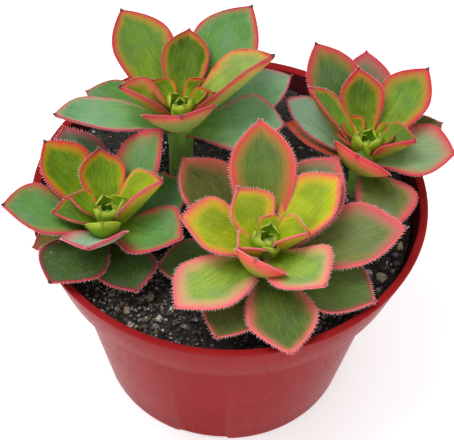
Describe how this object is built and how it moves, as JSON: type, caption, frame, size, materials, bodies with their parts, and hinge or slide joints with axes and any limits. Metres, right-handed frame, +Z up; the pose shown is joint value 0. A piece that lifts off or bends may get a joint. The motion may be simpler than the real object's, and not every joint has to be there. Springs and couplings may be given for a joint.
{
  "type": "potted tree aeonium",
  "caption": "Red-margined tree aeonium: leafy rosettes on short stems growing from gritty soil in a tapered red plastic nursery pot.",
  "frame": {"origin": "middle of the pot's foot, on the surface the pot stands on", "axes": "+Z up along the pot's axis; -Y towards the viewer of the picture; +X to the viewer's right, the plant's widest way"},
  "size_m": [0.1662, 0.1543, 0.1544],
  "materials": {
    "pot_plastic": "satin",
    "soil": "rough",
    "grit": "rough",
    "leaf": "satin"
  },
  "bodies": {
    "root": {"pot": "pot_plastic", "soil": "soil", "front_plant": "leaf", "left_plant": "leaf", "back_plant": "leaf", "right_plant": "leaf", "grain_01": "grit", "grain_02": "grit", "grain_03": "grit", "grain_04": "grit", "grain_05": "grit", "grain_06": "grit", "grain_07": "grit", "grain_08": "grit", "grain_09": "grit", "grain_10": "grit"}
  },
  "joints": []
}
